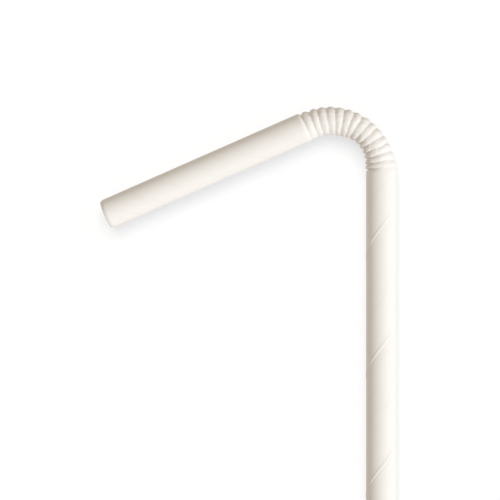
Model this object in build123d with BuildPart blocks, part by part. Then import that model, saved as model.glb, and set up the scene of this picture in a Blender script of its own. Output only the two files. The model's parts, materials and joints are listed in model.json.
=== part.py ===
"""A bendy paper drinking straw, lying on its side with its concertina bend turned.

The straw is one tube of glued, spirally wound paper. A long plain leg ends in an open
foot, a short plain leg ends in the open mouth that is drunk from, and between them the
same wall is crimped into a row of folds that holds the bend. Nothing else is joined to
it, so the whole straw is a single hollow solid.

Frame: millimetres, +Z up. The straw lies flat on z = 0, both legs' axes at the height of
its radius. The long leg runs along -Y, the bend is towards +Y and the short leg runs back
towards -X. The origin is on the floor under the middle of the straw's box.
"""

import os
from math import cos, pi, radians, sin

from build123d import *

os.makedirs("parts", exist_ok=True)

# the tube
OUTER_D = 6.0  # outside the plain legs, and over the crests of the folds
WALL = 0.45  # three plies of paper and their glue
LONG_LEG = 131.5  # plain length from the foot to the nearest groove
SHORT_LEG = 44.6  # plain length from the mouth to the nearest groove

# the concertina
GROOVES = 15
PITCH = 1.45  # from groove to groove, along the centre line
TURN = 113.5  # degrees that the folds turn the short leg away from the long leg
DEPTH_OUTSIDE = 0.25  # of a groove where the bend stretches it open
DEPTH_INSIDE = 0.55  # of a groove where the bend presses it shut
SLICES = 4  # sections to each fold, which give it a round crest and a sharp groove

outer_r = OUTER_D / 2
bore_r = outer_r - WALL
bends = GROOVES - 1  # the folds between the first groove and the last
bend_radius = bends * PITCH / radians(TURN)


def across(place):
    """The plane square to the straw at a place counted in folds from the long leg's groove.

    The straw is straight before place 0 and after the last groove, and follows one arc
    about the Z axis between them. The plane's own X points away from the arc's centre,
    and its Z points along the straw towards the mouth.
    """
    turned = min(max(place, 0), bends)
    angle = radians(TURN) * turned / bends
    outward = Vector(cos(angle), sin(angle), 0)
    onward = Vector(-sin(angle), cos(angle), 0)
    centre = outward * bend_radius + onward * (place - turned) * PITCH
    return Plane(centre + Vector(0, 0, outer_r), x_dir=outward, z_dir=onward)


def section(place, inset):
    """A round section of the folded wall, a given distance in from its outside.

    The wall bulges from groove to groove as half a sine wave. A groove is deeper on the
    inside of the bend, so its circle is both smaller and moved outward.
    """
    sunk = 1 - abs(sin(pi * place))
    mean_depth = sunk * (DEPTH_OUTSIDE + DEPTH_INSIDE) / 2
    shift = sunk * (DEPTH_INSIDE - DEPTH_OUTSIDE) / 2
    with BuildSketch(across(place)) as face:
        with Locations((shift, 0)):
            Circle(outer_r - mean_depth - inset)
    return face.sketch


def wall_sections(start, end, inset):
    """The sections of one fold, from one place on the concertina to the next."""
    count = round((end - start) * SLICES)
    return [section(start + step / SLICES, inset) for step in range(count + 1)]


# half a fold eases each leg into its first groove, and the rest run from groove to groove
first_crest = -0.5
last_crest = bends + 0.5
ends = [first_crest, *range(GROOVES), last_crest]
folds = list(zip(ends, ends[1:]))

# the tube's two plain legs, from the crest beside the folds out to the open end
legs = (
    (across(first_crest), LONG_LEG - PITCH / 2, -1),
    (across(last_crest), SHORT_LEG - PITCH / 2, 1),
)

with BuildPart() as straw:
    # the folded wall: its outside, then the hollow that follows it
    for start, end in folds:
        loft(wall_sections(start, end, 0))
    for start, end in folds:
        loft(wall_sections(start, end, WALL), mode=Mode.SUBTRACT)

    for end, length, way in legs:
        with BuildSketch(end):
            Circle(outer_r)
            Circle(bore_r, mode=Mode.SUBTRACT)
        extrude(amount=way * length)

# the origin goes under the middle of the straw's box, at the height of the floor
box = straw.part.bounding_box()
straw.part = Pos(-box.center().X, -box.center().Y, -box.min.Z) * straw.part

straw.part.label = "straw"
export_step(straw.part, "parts/straw.step")
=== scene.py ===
"""A bendy paper drinking straw, lying on its side on a pale floor."""

import json
import random
from math import atan2, cos, exp, hypot, pi, radians, sin, tan, tau

import bmesh
import bpy
from mathutils import Matrix, Vector, noise
from mathutils.geometry import intersect_line_line


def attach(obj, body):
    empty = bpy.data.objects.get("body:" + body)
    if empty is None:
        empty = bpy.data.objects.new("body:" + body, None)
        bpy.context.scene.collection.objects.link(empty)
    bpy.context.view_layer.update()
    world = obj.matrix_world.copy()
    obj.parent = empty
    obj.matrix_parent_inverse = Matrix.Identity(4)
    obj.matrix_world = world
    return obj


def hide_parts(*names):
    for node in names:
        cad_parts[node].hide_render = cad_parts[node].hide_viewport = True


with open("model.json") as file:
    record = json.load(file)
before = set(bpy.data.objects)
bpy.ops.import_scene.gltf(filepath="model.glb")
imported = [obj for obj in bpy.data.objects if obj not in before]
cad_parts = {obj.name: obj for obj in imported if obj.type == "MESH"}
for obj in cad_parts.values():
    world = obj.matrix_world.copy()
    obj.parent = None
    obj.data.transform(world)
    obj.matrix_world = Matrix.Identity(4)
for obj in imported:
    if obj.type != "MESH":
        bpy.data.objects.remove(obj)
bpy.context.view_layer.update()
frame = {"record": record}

MM = 0.001

# ---------------------------------------------------------------------------------------
# The straw's run: a long plain leg, a row of crimped folds and a short plain leg.
# The open ends and the tube's radii are the frame's own. The folds lie between them on
# one arc that both legs run into.
# ---------------------------------------------------------------------------------------
mounts = {mount["name"]: mount for mount in frame["record"]["mounts"]}
foot = Vector(mounts["foot_bore"]["pos_m"])
mouth = Vector(mounts["mouth_bore"]["pos_m"])
from_foot = -Vector(mounts["foot_bore"]["axis"])
to_mouth = Vector(mounts["mouth_bore"]["axis"])
outer_r = mounts["stem"]["dims"]["r_mm"] * MM
bore_r = mounts["foot_bore"]["dims"]["r_mm"] * MM
wall = outer_r - bore_r
long_leg = mounts["foot_bore"]["dims"]["length_mm"] * MM
short_leg = mounts["mouth_bore"]["dims"]["length_mm"] * MM

GROOVES = 15
folds = GROOVES - 1
turn = from_foot.angle(to_mouth)
corner = intersect_line_line(foot, foot + from_foot, mouth, mouth + to_mouth)[0]
leg_to_corner = (corner - foot).length - long_leg
pitch = leg_to_corner / (folds * tan(turn / 2) / turn + 0.5)
bend_r = folds * pitch / turn
first_groove = foot + from_foot * (long_leg + pitch / 2)
up = Vector((0, 0, 1))
outward_at_foot = from_foot.cross(up)
bend_centre = first_groove - outward_at_foot * bend_r
folded = (folds + 1) * pitch
straw_length = long_leg + folded + short_leg


def fold_place(along):
    """How many folds a point lies from the long leg's groove, given its distance from the foot."""
    return (along - long_leg) / pitch - 0.5


def across_straw(place, lean=0.0):
    """The frame of a section: X out from the bend's centre, Z along the straw to the mouth."""
    turned = min(max(place, 0), folds)
    angle = turn * turned / folds
    swing = Matrix.Rotation(angle, 3, up)
    outward = swing @ outward_at_foot
    onward = swing @ from_foot
    centre = bend_centre + outward * bend_r + onward * (place - turned) * pitch
    tilt = Matrix.Rotation(lean, 3, up)
    outward = tilt @ outward
    onward = tilt @ onward
    axes = Matrix((outward, onward.cross(outward), onward)).transposed()
    return Matrix.Translation(centre) @ axes.to_4x4()


# ---------------------------------------------------------------------------------------
# The wound tube: three plies of paper strip, glued and wound in a spiral on a mandrel.
# It is drawn out straight, one ring after another. The outside's rings turn with the
# spiral, so that fine columns of faces run along the outer ply's seam from end to end.
# ---------------------------------------------------------------------------------------
SEAM_LEAD = 23.7 * MM  # along the straw for each turn of the seam
SEAM_AT = 96.7 * MM  # from the foot to where the seam crosses the top
AROUND = 84  # sides of a ring
SEAM_BAND = 4  # sides that are cut finer, on each hand of the seam
SEAM_CUTS = 4
LEG_STEP = 0.6 * MM
FOLD_STEPS = 18
BORE_FOLD_STEPS = 6
BORE_LEG_STEP = 3 * MM
PLIES = 3
RIM_SINK = 0.04 * MM  # of the bore's edge and the grooves between plies, behind the cut
PLY_GROOVE = 0.12  # of a ply's thickness, from a groove's bottom to its edge
ROUNDED_END = 0.8 * MM  # along the straw, over which the blade rounded the wall to the cut
ROUNDED_BY = 0.22 * MM
END_STEP = 0.16 * MM
SAME_PLACE = 0.001 * MM  # between points that are merged

seam_slope = tau / SEAM_LEAD
bore_run = straw_length - 2 * RIM_SINK
bore_slope = seam_slope * bore_run % tau / bore_run  # the same turn in all, less whole turns


def seam_angle(along):
    """Where the seam stands round the tube, counted from the bend's outside: -pi / 2 is the top."""
    return seam_slope * (along - SEAM_AT) - pi / 2


def wind(bm, ring, length, step, slope=seam_slope):
    """Draws a ring of edges along the tube by a length, turning as it goes."""
    steps = max(1, round(abs(length) / step))
    grown = bmesh.ops.spin(
        bm, geom=ring, axis=(0, 0, 1), cent=(0, 0, 0), dvec=(0, 0, length / steps),
        angle=slope * length, steps=steps, use_duplicate=False,
    )
    return [part for part in grown["geom_last"] if isinstance(part, bmesh.types.BMEdge)]


def step_in(bm, ring, radius, depth):
    """Extrudes a rim's ring to another radius, and moves it along the spiral by a depth."""
    grown = bmesh.ops.extrude_edge_only(bm, edges=ring)["geom"]
    verts = [part for part in grown if isinstance(part, bmesh.types.BMVert)]
    now = hypot(verts[0].co.x, verts[0].co.y)
    bmesh.ops.scale(bm, verts=verts, vec=(radius / now, radius / now, 1))
    bmesh.ops.rotate(bm, verts=verts, matrix=Matrix.Rotation(seam_slope * depth, 3, "Z"))
    bmesh.ops.translate(bm, verts=verts, vec=(0, 0, depth))
    moved = set(verts)
    return [part for part in grown if isinstance(part, bmesh.types.BMEdge) and set(part.verts) <= moved]


def cut_rim(bm, ring, inwards):
    """The cut end of the wall: a flat band for each ply, with a fine groove between plies."""
    ply = wall / PLIES
    for index in range(1, PLIES):
        ring = step_in(bm, ring, outer_r - ply * (index - PLY_GROOVE), 0)
        ring = step_in(bm, ring, outer_r - ply * index, inwards * RIM_SINK)
        ring = step_in(bm, ring, outer_r - ply * (index + PLY_GROOVE), -inwards * RIM_SINK)
    ring = step_in(bm, ring, bore_r + ply * PLY_GROOVE, 0)
    return step_in(bm, ring, bore_r, inwards * RIM_SINK)


tube = bmesh.new()
bmesh.ops.create_circle(tube, segments=AROUND, radius=outer_r)
bmesh.ops.rotate(tube, verts=tube.verts[:], matrix=Matrix.Rotation(seam_angle(0), 3, "Z"))
seam_foot = Vector((cos(seam_angle(0)), sin(seam_angle(0)), 0))
by_nearness = sorted(tube.edges, key=lambda edge: seam_foot.angle(edge.verts[0].co + edge.verts[1].co))
bmesh.ops.subdivide_edges(tube, edges=by_nearness[: 2 * SEAM_BAND], cuts=SEAM_CUTS)
for vert in tube.verts:
    vert.co *= outer_r / vert.co.length
foot_ring = tube.edges[:]

ring = wind(tube, foot_ring, ROUNDED_END, END_STEP)
ring = wind(tube, ring, long_leg - ROUNDED_END, LEG_STEP)
ring = wind(tube, ring, folded, pitch / FOLD_STEPS)
ring = wind(tube, ring, short_leg - ROUNDED_END, LEG_STEP)
ring = wind(tube, ring, ROUNDED_END, END_STEP)
ring = cut_rim(tube, ring, -1)
ring = wind(tube, ring, RIM_SINK - short_leg, BORE_LEG_STEP, bore_slope)
ring = wind(tube, ring, -folded, pitch / BORE_FOLD_STEPS, bore_slope)
ring = wind(tube, ring, RIM_SINK - long_leg, BORE_LEG_STEP, bore_slope)
cut_rim(tube, foot_ring, 1)
bmesh.ops.remove_doubles(tube, verts=tube.verts[:], dist=SAME_PLACE)
bmesh.ops.recalc_face_normals(tube, faces=tube.faces[:])

# ---------------------------------------------------------------------------------------
# The seam: the outer ply's edge lies over the turn before it, as a low step in the wall.
# Its upper face eases up to the edge and drops off past it, with a fine gap at its foot.
# ---------------------------------------------------------------------------------------
SEAM_HEIGHT = 0.062 * MM
SEAM_EASE = 0.45 * MM  # across the seam, of the rise to the edge
SEAM_LIP = 0.03 * MM  # between the highest line and the edge
SEAM_DROP = 0.32 * MM
SEAM_GAP = 0.014 * MM  # the gap's depth
GAP_WIDTH = 0.05 * MM
UNDER_HEIGHT = 0.007 * MM  # the edges of the plies below, which show through faintly
UNDER_EASE = 0.7 * MM
UNDER_DROP = 0.5 * MM

across_seam = outer_r * SEAM_LEAD / hypot(SEAM_LEAD, tau * outer_r)


def ease(low, high, value):
    """A smooth rise from 0 to 1 between two values."""
    share = min(max((value - low) / (high - low), 0), 1)
    return share * share * (3 - 2 * share)


def seam_relief(phase):
    """Height of the outside at an angle round from the seam, across the direction it runs."""
    gone = phase * across_seam
    lap = ease(-SEAM_EASE, -SEAM_LIP, gone) * (1 - ease(-SEAM_LIP, SEAM_DROP, gone))
    gap = exp(-(((gone - SEAM_DROP - SEAM_LIP) / GAP_WIDTH) ** 2))
    height = SEAM_HEIGHT * lap - SEAM_GAP * gap
    for under in (-tau / 3, tau / 3):
        gone = (phase - under) * across_seam
        height += UNDER_HEIGHT * ease(-UNDER_EASE, 0, gone) * (1 - ease(0, UNDER_DROP, gone))
    return height


# ---------------------------------------------------------------------------------------
# The folds: the wall is crimped by a die into rings, with round crests and sharp grooves.
# Turning the bend opens them outside, and inside it crowds them and creases the paper.
# Places along them are counted in folds, from the groove at the long leg.
# ---------------------------------------------------------------------------------------
GROOVE_OUTSIDE = 0.38 * MM
GROOVE_TOP = 0.26 * MM
GROOVE_INSIDE = 0.11 * MM  # near the short leg
CREASED_INSIDE = 0.28 * MM  # near the long leg, where the folds were pressed hardest
HARD_SHALLOWER = 0.25  # of the depth, less outside where the folds were pressed hard
FIRST_SHALLOWER = 0.75  # of the depth, less at the long leg
FIRST_DEEPENS = (-0.3, 1)
LAST_DEEPER = 0.5  # of the depth, more at the short leg
LAST_DEEPENS = (folds - 0.6, folds)
ROUNDING = 0.07  # of the groove's bottom
CREASE = 0.27 * MM  # the sharp line in the bottom of a hard pressed groove
CREASE_WIDTH = 0.1
CREASED_ROUND = (0.1, 0.8)  # over which it grows, from the bend's top at 0 to its inside at 1
HARD_FADES = (4.5, 8.5)
UNEVEN_DEPTH = 0.2  # of a groove's depth, more or less than the rest
UNEVEN_PITCH = 0.05  # of a fold, nearer or further than the rest

CREST_SINK = 0.17 * MM  # of the crests below the legs
SINK_STARTS = (-1, 2)
SINK_ENDS = (folds - 0.9, folds + 0.1)
LEVEL_INSIDE = (0, 3)  # where the inside's crests come down from the long leg's level
CRUSH = 0.45 * MM  # of the whole wall inside the bend, at its worst place
CRUSH_AT = 5.6
CRUSH_SPREAD = 2.9

START = 0.48  # by which the rings stand nearer the short leg than the bend does
START_GROWS = (-3, 0)
START_FADES = (folds, folds + 3)
CROWDING = 0.24  # by which the rings shift towards the long leg
CROWDING_SKEW = 0.7  # under 1, which brings the most shift nearer the long leg
LEAN = radians(7.5)  # of the rings near the short leg
LEAN_AT = 10.5
LEAN_SPREAD = 2.2
WANDER = 0.10  # by which a groove strays from square as it goes round
WANDER_ALONG = 0.7  # how fast the noise behind it changes, for each fold
WANDER_ROUND = 1.4  # and for each radian round the wall
WANDER_LAYER = 5.0  # a slice of the noise that nothing else reads

CRUMPLE = 0.16 * MM
CRUMPLE_CREASE = 0.15 * MM  # the depth of a line where the noise crosses its middle
CRUMPLE_SHARP = 0.13  # of that line, less being sharper
CRUMPLED_ROUND = (0, 0.8)
CRUMPLE_ALONG = 1.7
CRUMPLE_SLANT = 1.6  # which turns the creases off square
CRUMPLE_ROUND = 1.2
CRUMPLE_LAYER = 3.0
CRUMPLE_STARTS = (-0.9, 0)
CRUMPLE_FADES = (4.5, 8)
CRUMPLE_FADED = 0.9  # of the crumpling, gone near the short leg
CRUMPLE_ENDS = (folds, folds + 0.8)
FACET = 0.07 * MM
FACET_ALONG = 2.1
FACET_ROUND = 4.5
FACETS_START = (-0.6, 0.4)
FACETS_END = (folds - 0.2, folds + 0.5)

SEAM_PRESSED = 0.7  # of the seam's height, pressed flat from the folds on
SEAM_SPRUNG = 0.2  # of that share, less on the short leg
LYING_NARROW = 8  # the higher, the narrower the band that the floor presses flat

chance = random.Random(7)
groove_share = [chance.uniform(1 - UNEVEN_DEPTH, 1 + UNEVEN_DEPTH) for _ in range(GROOVES)]
groove_shift = [chance.uniform(-UNEVEN_PITCH, UNEVEN_PITCH) for _ in range(GROOVES)]


def bell(away, spread):
    """1 at a place, falling smoothly to 0 on both hands of it."""
    return exp(-((away / spread) ** 2))


def nearest_groove(place):
    """The number of the groove that lies nearest to a place, from 0 at the long leg."""
    return min(max(round(place), 0), folds)


def hard_pressed(place):
    """1 where the folds were pressed hard together, near the long leg, falling to 0."""
    return 1 - ease(*HARD_FADES, place)


def groove_sink(place, angle):
    """How far the wall is sunk at a place on the folds, at an angle from the bend's outside."""
    stray = noise.noise(Vector((place * WANDER_ALONG, angle * WANDER_ROUND, WANDER_LAYER)))
    place += WANDER * stray
    if not -0.5 < place < folds + 0.5:
        return 0.0
    outward = max(0, cos(angle))
    inward = max(0, -cos(angle))
    hard = hard_pressed(place)
    depth = GROOVE_TOP + (GROOVE_OUTSIDE - GROOVE_TOP) * outward
    depth *= 1 - HARD_SHALLOWER * hard * (1 - inward)
    depth *= 1 - FIRST_SHALLOWER * (1 - ease(*FIRST_DEEPENS, place)) * (1 - inward)
    depth += (GROOVE_INSIDE + (CREASED_INSIDE - GROOVE_INSIDE) * hard - depth) * inward
    groove = nearest_groove(place)
    depth *= groove_share[groove] * (1 + LAST_DEEPER * ease(*LAST_DEEPENS, place))
    wave = hypot(sin(pi * place), ROUNDING) / hypot(1, ROUNDING)
    crease = CREASE * hard * ease(*CREASED_ROUND, inward) * bell(place - groove, CREASE_WIDTH)
    return depth * (1 - wave) + crease


def squeeze(place, angle):
    """How far the whole wall is drawn in where it is folded, and pressed flat inside the bend."""
    near = ease(*SINK_STARTS, place) * (1 - ease(*SINK_ENDS, place))
    inward = max(0, -cos(angle))
    level = inward * (1 - ease(*LEVEL_INSIDE, place))
    crush = CRUSH * bell(place - CRUSH_AT, CRUSH_SPREAD)
    return near * (CREST_SINK * (1 - level) + crush * inward**2)


def crumple(place, angle):
    """Creases of paper that was crowded together on the inside of the bend."""
    inside = ease(*CRUMPLED_ROUND, -cos(angle))
    near = ease(*CRUMPLE_STARTS, place) * (1 - CRUMPLE_FADED * ease(*CRUMPLE_FADES, place))
    near *= 1 - ease(*CRUMPLE_ENDS, place)
    along = place * CRUMPLE_ALONG + angle * CRUMPLE_SLANT
    rise = noise.noise(Vector((along, angle * CRUMPLE_ROUND, CRUMPLE_LAYER)))
    return inside * near * (CRUMPLE * rise - CRUMPLE_CREASE * bell(rise, CRUMPLE_SHARP))


def facets(place, angle):
    """Small flat spots and dints that crimping leaves all over the folds."""
    near = ease(*FACETS_START, place) * (1 - ease(*FACETS_END, place))
    spot = Vector((place * FACET_ALONG, cos(angle) * FACET_ROUND, sin(angle) * FACET_ROUND))
    return FACET * near * noise.noise(spot)


def fold_shift(place):
    """How far a ring stands from even spacing, in folds."""
    start = START * ease(*START_GROWS, place) * (1 - ease(*START_FADES, place))
    if not 0 < place < folds:
        return start
    low = int(place)
    share = place - low
    uneven = groove_shift[low] * (1 - share) + groove_shift[min(low + 1, folds)] * share
    return start + uneven - CROWDING * sin(pi * (place / folds) ** CROWDING_SKEW)


def shaped(co):
    """Where a point of the straight, smooth tube lies on the finished straw."""
    angle = atan2(co.y, co.x)
    place = fold_place(co.z)
    phase = (angle - seam_angle(co.z) + pi) % tau - pi
    radius = hypot(co.x, co.y)
    outside = ease(bore_r, outer_r, radius)
    radius -= groove_sink(place, angle) + squeeze(place, angle)
    radius += crumple(place, angle) + facets(place, angle)
    pressed = SEAM_PRESSED * ease(-1, 0, place) * (1 - SEAM_SPRUNG * ease(folds, folds + 1, place))
    lying = max(0, sin(angle)) ** LYING_NARROW
    radius += outside * seam_relief(phase) * (1 - pressed) * (1 - lying)
    from_end = min(co.z, straw_length - co.z)
    radius -= outside * ROUNDED_BY * (1 - ease(0, ROUNDED_END, from_end)) ** 2
    lean = LEAN * bell(place - LEAN_AT, LEAN_SPREAD)
    section = across_straw(place + fold_shift(place), lean)
    return section @ Vector((radius * cos(angle), radius * sin(angle), 0))


# Each point keeps where it lay on the wound strip, for the paper's fibres to follow.
wound = tube.verts.layers.float_vector.new("wound")
for vert in tube.verts:
    phase = atan2(vert.co.y, vert.co.x) - seam_angle(vert.co.z)
    radius = hypot(vert.co.x, vert.co.y)
    vert[wound] = Vector((radius * cos(phase), radius * sin(phase), vert.co.z))
skin = 0.01 * MM  # from the outside in, past which a face at an end is cut paper
for face in tube.faces:
    middle = face.calc_center_median()
    at_end = min(middle.z, straw_length - middle.z) < RIM_SINK
    face.material_index = int(at_end and hypot(middle.x, middle.y) < outer_r - skin)
    face.smooth = True
for vert in tube.verts:
    vert.co = shaped(vert.co)

straw_mesh = bpy.data.meshes.new("straw_wall")
tube.to_mesh(straw_mesh)
tube.free()
straw = bpy.data.objects.new("straw_wall", straw_mesh)
bpy.context.scene.collection.objects.link(straw)
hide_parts("straw")
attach(straw, "root")

# ---------------------------------------------------------------------------------------
# The paper: uncoated warm white stock with a fine felt of fibres, drawn out a little
# along the strip. Where the wall is cut, the bare fibre is rougher, and its darker colour
# is partly the fibre's own duller tone and partly painted shade on the cut edge.
# ---------------------------------------------------------------------------------------
PAPER = (0.945, 0.918, 0.905, 1)
PAPER_SHADE = (0.88, 0.845, 0.815, 1)
# darker than the paper, partly the bare fibre's own duller tone and partly painted shade on the cut
# edge
CUT_PAPER_AND_SHADE = (0.84, 0.80, 0.74, 1)
DRAWN = 0.22  # of the fineness across the strip, that fibres have along it
SHEEN = 0.08  # by which roughness goes up and down with the fibres


def fibre_group():
    """Fine fibres and slow clouding on the wound strip's own coordinates, in millimetres."""
    group = bpy.data.node_groups.new("paper_fibres", "ShaderNodeTree")
    group.interface.new_socket("Fineness", in_out="INPUT", socket_type="NodeSocketFloat")
    group.interface.new_socket("Tone", in_out="OUTPUT", socket_type="NodeSocketFloat")
    group.interface.new_socket("Height", in_out="OUTPUT", socket_type="NodeSocketFloat")
    nodes, links = group.nodes, group.links
    into = nodes.new("NodeGroupInput")
    out = nodes.new("NodeGroupOutput")
    strip = nodes.new("ShaderNodeAttribute")
    strip.attribute_name = "wound"
    drawn = nodes.new("ShaderNodeMapping")
    drawn.inputs["Scale"].default_value = (1 / MM, 1 / MM, DRAWN / MM)
    links.new(strip.outputs["Vector"], drawn.inputs["Vector"])
    fibres = nodes.new("ShaderNodeTexNoise")
    fibres.inputs["Detail"].default_value = 5
    fibres.inputs["Roughness"].default_value = 0.6
    links.new(drawn.outputs["Vector"], fibres.inputs["Vector"])
    links.new(into.outputs["Fineness"], fibres.inputs["Scale"])
    clouds = nodes.new("ShaderNodeTexNoise")
    clouds.inputs["Scale"].default_value = 0.45
    clouds.inputs["Detail"].default_value = 2
    links.new(drawn.outputs["Vector"], clouds.inputs["Vector"])
    tone = nodes.new("ShaderNodeMix")
    tone.inputs["Factor"].default_value = 0.4
    links.new(fibres.outputs["Fac"], tone.inputs["A"])
    links.new(clouds.outputs["Fac"], tone.inputs["B"])
    links.new(tone.outputs["Result"], out.inputs["Tone"])
    links.new(fibres.outputs["Fac"], out.inputs["Height"])
    return group


fibres_of = fibre_group()


def paper_material(name, pale, dark, fineness, relief, rough):
    """A paper surface: fibre colour between two tones, fibre relief and a matte finish."""
    material = bpy.data.materials.new(name)
    material.use_nodes = True
    nodes, links = material.node_tree.nodes, material.node_tree.links
    shader = nodes["Principled BSDF"]
    shader.inputs["IOR"].default_value = 1.45
    shader.inputs["Specular IOR Level"].default_value = 0.3
    fibre = nodes.new("ShaderNodeGroup")
    fibre.node_tree = fibres_of
    fibre.inputs["Fineness"].default_value = fineness
    colour = nodes.new("ShaderNodeMix")
    colour.data_type = "RGBA"
    colour.inputs["A"].default_value = dark
    colour.inputs["B"].default_value = pale
    spread = nodes.new("ShaderNodeMapRange")
    spread.inputs["From Min"].default_value = 0.15
    spread.inputs["From Max"].default_value = 0.5
    links.new(fibre.outputs["Tone"], spread.inputs["Value"])
    links.new(spread.outputs["Result"], colour.inputs["Factor"])
    links.new(colour.outputs["Result"], shader.inputs["Base Color"])
    gloss = nodes.new("ShaderNodeMapRange")
    gloss.inputs["To Min"].default_value = rough - SHEEN
    gloss.inputs["To Max"].default_value = rough + SHEEN
    links.new(fibre.outputs["Tone"], gloss.inputs["Value"])
    links.new(gloss.outputs["Result"], shader.inputs["Roughness"])
    bump = nodes.new("ShaderNodeBump")
    bump.inputs["Strength"].default_value = 1.0
    bump.inputs["Distance"].default_value = relief
    links.new(fibre.outputs["Height"], bump.inputs["Height"])
    links.new(bump.outputs["Normal"], shader.inputs["Normal"])
    return material


straw.data.materials.append(paper_material("straw_paper", PAPER, PAPER_SHADE, 2.2, 0.012 * MM, 0.72))
# The cut ends: rougher, with a darker colour that is partly painted shade on the cut edge.
straw.data.materials.append(paper_material("cut_paper_and_shade", CUT_PAPER_AND_SHADE, PAPER_SHADE, 6.0, 0.03 * MM, 0.9))

# ---------------------------------------------------------------------------------------
# The studio: a white table under soft warm daylight from all round. A key lamp on the right
# lights the straw alone, and a softer one behind it lights the table alone. The table glows
# a little, so that it stays white round a soft shadow, and its glow is dimmed close to the
# straw, which paints a contact shadow there.
# ---------------------------------------------------------------------------------------
TABLE_HALF = 1500 * MM
TABLE = (0.76, 0.76, 0.86, 1)
TABLE_SEEN = (0.755, 0.83, 0.965, 1)  # to the camera, against the daylight's warmth
TABLE_GLOW = 0.487  # to the camera
TABLE_BOUNCE = 0.16  # the glow that lights the straw from below
BOUNCE_TINT = (1.0, 0.93, 0.81, 1)
WHITE = (1, 1, 1, 1)
PAINTED_SHADOW_REACH = 5.4 * MM  # how near the straw the table's glow is dimmed, as painted contact shadow
# the share of the table's glow taken off next to the straw, a painted contact shadow
PAINTED_SHADOW_DEPTH = 0.35
DAYLIGHT = (1.0, 0.905, 0.755, 1)
DAYLIGHT_LEVEL = 0.48

floor_mesh = bpy.data.meshes.new("floor")
ground = bmesh.new()
bmesh.ops.create_grid(ground, x_segments=1, y_segments=1, size=TABLE_HALF)
ground.to_mesh(floor_mesh)
ground.free()
floor = bpy.data.objects.new("floor", floor_mesh)
bpy.context.scene.collection.objects.link(floor)

table_top = bpy.data.materials.new("table_top")
table_top.use_nodes = True
nodes, links = table_top.node_tree.nodes, table_top.node_tree.links
shader = nodes["Principled BSDF"]
shader.inputs["Roughness"].default_value = 1.0
shader.inputs["Specular IOR Level"].default_value = 0.0
ray = nodes.new("ShaderNodeLightPath")
white = nodes.new("ShaderNodeMix")
white.data_type = "RGBA"
white.inputs["A"].default_value = TABLE
white.inputs["B"].default_value = TABLE_SEEN
links.new(ray.outputs["Is Camera Ray"], white.inputs["Factor"])
links.new(white.outputs["Result"], shader.inputs["Base Color"])
glow_tint = nodes.new("ShaderNodeMix")
glow_tint.data_type = "RGBA"
glow_tint.inputs["A"].default_value = BOUNCE_TINT
glow_tint.inputs["B"].default_value = WHITE
links.new(ray.outputs["Is Camera Ray"], glow_tint.inputs["Factor"])
links.new(glow_tint.outputs["Result"], shader.inputs["Emission Color"])
# The glow dims where the straw is near, by ambient occlusion: a painted contact shadow on the table.
near = nodes.new("ShaderNodeAmbientOcclusion")
near.inputs["Distance"].default_value = PAINTED_SHADOW_REACH
dim = nodes.new("ShaderNodeMapRange")
dim.inputs["To Min"].default_value = TABLE_GLOW * (1 - PAINTED_SHADOW_DEPTH)
dim.inputs["To Max"].default_value = TABLE_GLOW
links.new(near.outputs["AO"], dim.inputs["Value"])
glow = nodes.new("ShaderNodeMix")
glow.inputs["A"].default_value = TABLE_BOUNCE
links.new(ray.outputs["Is Camera Ray"], glow.inputs["Factor"])
links.new(dim.outputs["Result"], glow.inputs["B"])
links.new(glow.outputs["Result"], shader.inputs["Emission Strength"])
floor.data.materials.append(table_top)

world = bpy.data.worlds.new("studio")
bpy.context.scene.world = world
world.use_nodes = True
nodes, links = world.node_tree.nodes, world.node_tree.links
sky = nodes["Background"]
ray = nodes.new("ShaderNodeLightPath")
tint = nodes.new("ShaderNodeMix")
tint.data_type = "RGBA"
tint.inputs["A"].default_value = DAYLIGHT
tint.inputs["B"].default_value = WHITE
links.new(ray.outputs["Is Camera Ray"], tint.inputs["Factor"])
links.new(tint.outputs["Result"], sky.inputs["Color"])
level = nodes.new("ShaderNodeMapRange")
level.inputs["To Min"].default_value = DAYLIGHT_LEVEL
level.inputs["To Max"].default_value = 1.0
links.new(ray.outputs["Is Camera Ray"], level.inputs["Value"])
links.new(level.outputs["Result"], sky.inputs["Strength"])


def lamp_for(piece, name, strength, colour, towards, spread):
    """A broad lamp, standing off in a direction, that lights one piece alone."""
    light = bpy.data.lights.new(name, "SUN")
    light.energy = strength
    light.color = colour
    light.angle = spread
    lamp = bpy.data.objects.new(name, light)
    lamp.rotation_euler = Vector(towards).to_track_quat("Z", "Y").to_euler()
    bpy.context.scene.collection.objects.link(lamp)
    lit = bpy.data.collections.new(name + "_lights")
    lit.objects.link(piece)
    lamp.light_linking.receiver_collection = lit


lamp_for(
    straw, "key_lamp", strength=2.14, colour=(0.893, 0.953, 1.0),
    towards=(0.68, -0.28, 0.68), spread=radians(15),
)
lamp_for(
    floor, "table_lamp", strength=0.86, colour=DAYLIGHT[:3],
    towards=(-0.05, 0.5, 0.85), spread=radians(45),
)

# ---------------------------------------------------------------------------------------
# The camera: a long lens that looks down on the bend and the two legs beside it.
# ---------------------------------------------------------------------------------------
VIEW_WIDTH = 100 * MM
VIEW_LEFT = 26.2 * MM  # of the view's middle from the first groove
VIEW_DOWN = 15.5 * MM
CAMERA_AWAY = 400 * MM
CAMERA_SIDE = radians(4.5)
SENSOR_WIDTH = 36

look_at = Vector((first_groove.x - VIEW_LEFT, first_groove.y - VIEW_DOWN, outer_r))
lens = bpy.data.cameras.new("camera")
lens.sensor_width = SENSOR_WIDTH
lens.lens = lens.sensor_width * CAMERA_AWAY / VIEW_WIDTH
camera = bpy.data.objects.new("camera", lens)
camera.location = look_at + CAMERA_AWAY * Vector((sin(CAMERA_SIDE), 0, cos(CAMERA_SIDE)))
camera.rotation_euler = (0, CAMERA_SIDE, 0)
bpy.context.scene.collection.objects.link(camera)
bpy.context.scene.camera = camera
bpy.context.scene.view_settings.view_transform = "Standard"
